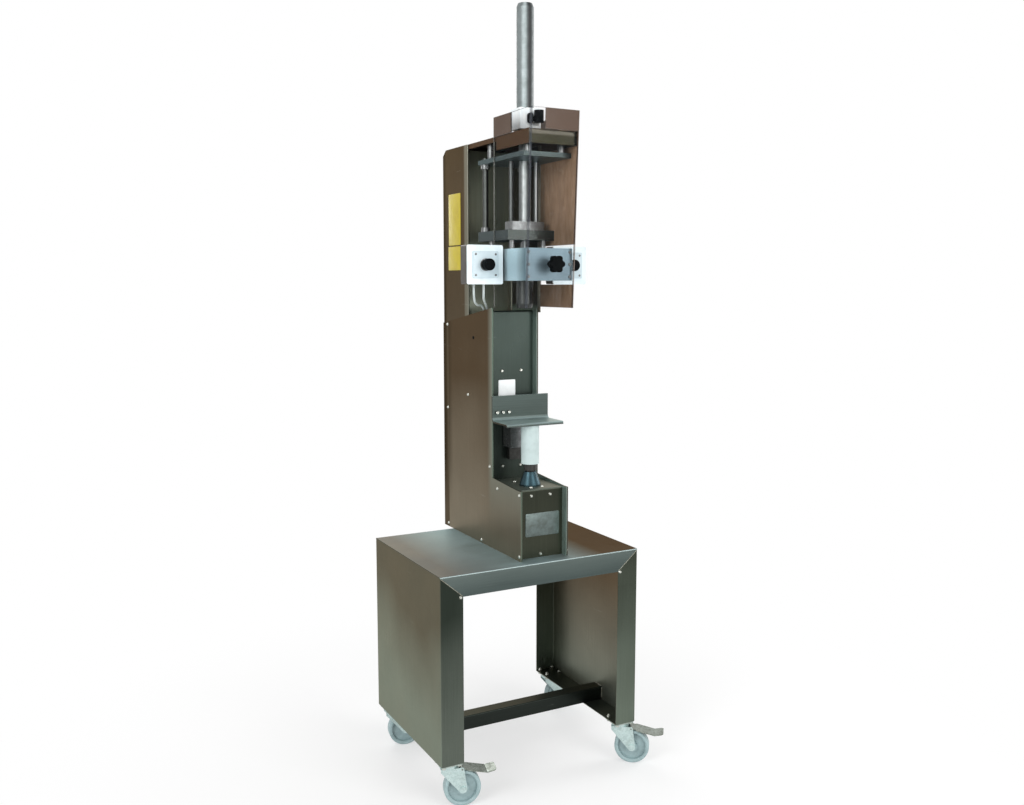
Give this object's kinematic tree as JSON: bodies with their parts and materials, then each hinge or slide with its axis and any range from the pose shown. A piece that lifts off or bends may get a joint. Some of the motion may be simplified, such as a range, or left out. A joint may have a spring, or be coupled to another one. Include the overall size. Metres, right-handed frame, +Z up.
{
  "type": "corking machine",
  "caption": "Stainless floor-standing corking machine: bottle lift, guarded corking head with a plunger, two-hand controls and a stand on braked casters.",
  "frame": {"origin": "on the floor, straight below the middle of the table top", "axes": "+Z up, -Y towards the operator, +X to the operator's right"},
  "size_m": [0.6768, 0.5811, 2.08],
  "materials": {
    "stand_steel": "brushed stainless sheet",
    "body_steel": "brushed stainless sheet",
    "zinc_steel": "bright zinc plate",
    "fork_zinc": "bright zinc plate",
    "screw_steel": "bright dome heads",
    "rail_steel": "ground steel",
    "tube_steel": "satin steel",
    "blue_zinc": "blue passivated zinc",
    "aluminium": "white anodised",
    "plate_aluminium": "satin anodised",
    "guard_sheet": "smoky clear sheet",
    "black_plastic": "moulded",
    "white_plastic": "moulded",
    "tube_plastic": "soft air tube",
    "wheel_plastic": "cast polyamide",
    "pedal_steel": "dark coated"
  },
  "bodies": {
    "machine": {"stand_top": "stand_steel", "side_panel_left": "stand_steel", "side_panel_right": "stand_steel", "cross_brace": "stand_steel", "caster_plates": "zinc_steel", "column_side_left": "body_steel", "column_side_right": "body_steel", "column_front": "body_steel", "column_rear_cover": "body_steel", "foot_cover": "body_steel", "body_screws": "screw_steel", "guide_rail": "rail_steel", "lift_cone": "blue_zinc", "lift_body": "aluminium", "upper_cover": "body_steel", "upper_front_plate": "body_steel", "head_cap": "body_steel", "head_posts": "rail_steel", "upper_plate": "plate_aluminium", "lower_plate": "plate_aluminium", "rear_columns": "rail_steel", "column_collars": "screw_steel", "front_rods": "rail_steel", "jaw_housing": "plate_aluminium", "centring_bell": "rail_steel", "guard": "guard_sheet", "cylinder_spacer": "black_plastic", "cylinder_block": "aluminium", "cylinder_tube": "tube_steel", "cylinder_end_cap": "tube_steel", "block_plug": "black_plastic", "elbow_fitting": "black_plastic", "control_box_left": "white_plastic", "control_box_right": "white_plastic", "box_cover_left": "white_plastic", "box_cover_right": "white_plastic", "box_brackets": "zinc_steel", "air_tube_outer": "tube_plastic", "air_tube_inner": "tube_plastic"},
    "platform": {"platform": "body_steel", "carriage": "plate_aluminium", "lift_rod": "rail_steel", "lift_sleeve": "white_plastic"},
    "plunger": {"plunger_rod": "rail_steel", "crosshead": "plate_aluminium", "plunger_pin": "rail_steel"},
    "knob": {"knob": "black_plastic"},
    "button_left": {"button_left": "black_plastic"},
    "button_right": {"button_right": "black_plastic"},
    "fork_front_left": {"fork_front_left": "fork_zinc"},
    "wheel_front_left": {"wheel_front_left": "wheel_plastic"},
    "pedal_front_left": {"pedal_front_left": "pedal_steel"},
    "fork_front_right": {"fork_front_right": "fork_zinc"},
    "wheel_front_right": {"wheel_front_right": "wheel_plastic"},
    "pedal_front_right": {"pedal_front_right": "pedal_steel"},
    "fork_back_left": {"fork_back_left": "fork_zinc"},
    "wheel_back_left": {"wheel_back_left": "wheel_plastic"},
    "fork_back_right": {"fork_back_right": "fork_zinc"},
    "wheel_back_right": {"wheel_back_right": "wheel_plastic"}
  },
  "joints": [
    {"name": "platform_lift", "type": "slide", "parent": "machine", "child": "platform", "axis": [0, 0, 1], "range_m": [0, 0.04]},
    {"name": "plunger_stroke", "type": "slide", "parent": "machine", "child": "plunger", "axis": [0, 0, 1], "range_m": [0, 0.15]},
    {"name": "knob_turn", "type": "hinge", "parent": "machine", "child": "knob", "pos_m": [0.02, -0.25, 1.4045], "axis": [0, -1, 0], "continuous": true},
    {"name": "button_left_press", "type": "slide", "parent": "machine", "child": "button_left", "axis": [0, 1, 0], "range_m": [0, 0.006], "stiffness_N_per_m": 800},
    {"name": "button_right_press", "type": "slide", "parent": "machine", "child": "button_right", "axis": [0, 1, 0], "range_m": [0, 0.006], "stiffness_N_per_m": 800},
    {"name": "swivel_front_left", "type": "hinge", "parent": "machine", "child": "fork_front_left", "pos_m": [-0.268, -0.198, 0.118], "axis": [0, 0, 1], "continuous": true},
    {"name": "roll_front_left", "type": "hinge", "parent": "fork_front_left", "child": "wheel_front_left", "pos_m": [-0.23323, -0.20732, 0.049], "axis": [0.2588, 0.9659, 0], "continuous": true},
    {"name": "brake_front_left", "type": "hinge", "parent": "fork_front_left", "child": "pedal_front_left", "pos_m": [-0.23516, -0.2068, 0.103], "axis": [0.2588, 0.9659, 0], "range_deg": [0, 8]},
    {"name": "swivel_front_right", "type": "hinge", "parent": "machine", "child": "fork_front_right", "pos_m": [0.268, -0.198, 0.118], "axis": [0, 0, 1], "continuous": true},
    {"name": "roll_front_right", "type": "hinge", "parent": "fork_front_right", "child": "wheel_front_right", "pos_m": [0.29637, -0.22016, 0.049], "axis": [0.6157, 0.788, 0], "continuous": true},
    {"name": "brake_front_right", "type": "hinge", "parent": "fork_front_right", "child": "pedal_front_right", "pos_m": [0.29479, -0.21893, 0.103], "axis": [0.6157, 0.788, 0], "range_deg": [0, 8]},
    {"name": "swivel_back_left", "type": "hinge", "parent": "machine", "child": "fork_back_left", "pos_m": [-0.268, 0.198, 0.118], "axis": [0, 0, 1], "continuous": true},
    {"name": "roll_back_left", "type": "hinge", "parent": "fork_back_left", "child": "wheel_back_left", "pos_m": [-0.23255, 0.19175, 0.049], "axis": [0.1736, 0.9848, 0], "continuous": true},
    {"name": "swivel_back_right", "type": "hinge", "parent": "machine", "child": "fork_back_right", "pos_m": [0.268, 0.198, 0.118], "axis": [0, 0, 1], "continuous": true},
    {"name": "roll_back_right", "type": "hinge", "parent": "fork_back_right", "child": "wheel_back_right", "pos_m": [0.30386, 0.19486, 0.049], "axis": [0.0872, 0.9962, 0], "continuous": true}
  ]
}
